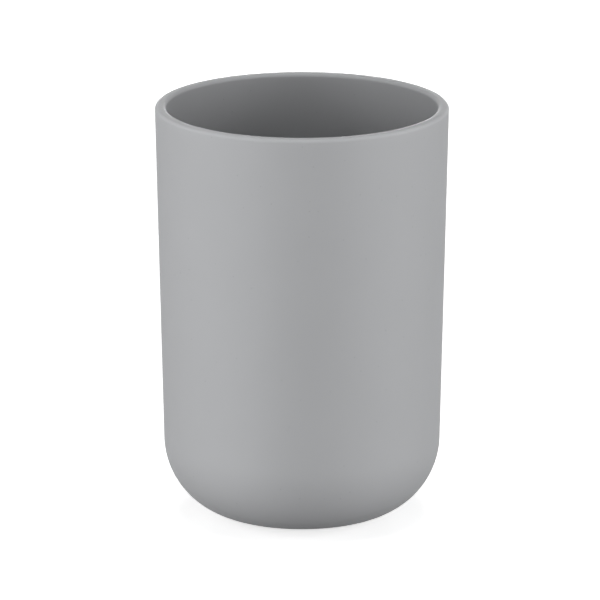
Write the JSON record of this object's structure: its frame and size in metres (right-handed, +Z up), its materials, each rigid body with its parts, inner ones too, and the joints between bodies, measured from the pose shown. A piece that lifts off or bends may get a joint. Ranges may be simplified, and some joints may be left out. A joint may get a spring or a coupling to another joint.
{
  "type": "bathroom tumbler",
  "caption": "Round tapered bathroom tumbler with a rounded base, a plain open rim and a non-slip ring let into its underside; holds toothbrushes or rinsing water.",
  "frame": {"origin": "on the cup's axis, in the plane of the ring's underside, which is the surface that the tumbler stands on", "axes": "+Z up along the cup's axis, from the base to the rim; the form is turned, so +X and +Y are alike"},
  "size_m": [0.072, 0.072, 0.103],
  "materials": {
    "cup": "satin, from a finely textured mould",
    "ring": "matt, moulded"
  },
  "bodies": {
    "root": {"cup_body": "cup", "non_slip_ring": "ring"}
  },
  "joints": []
}
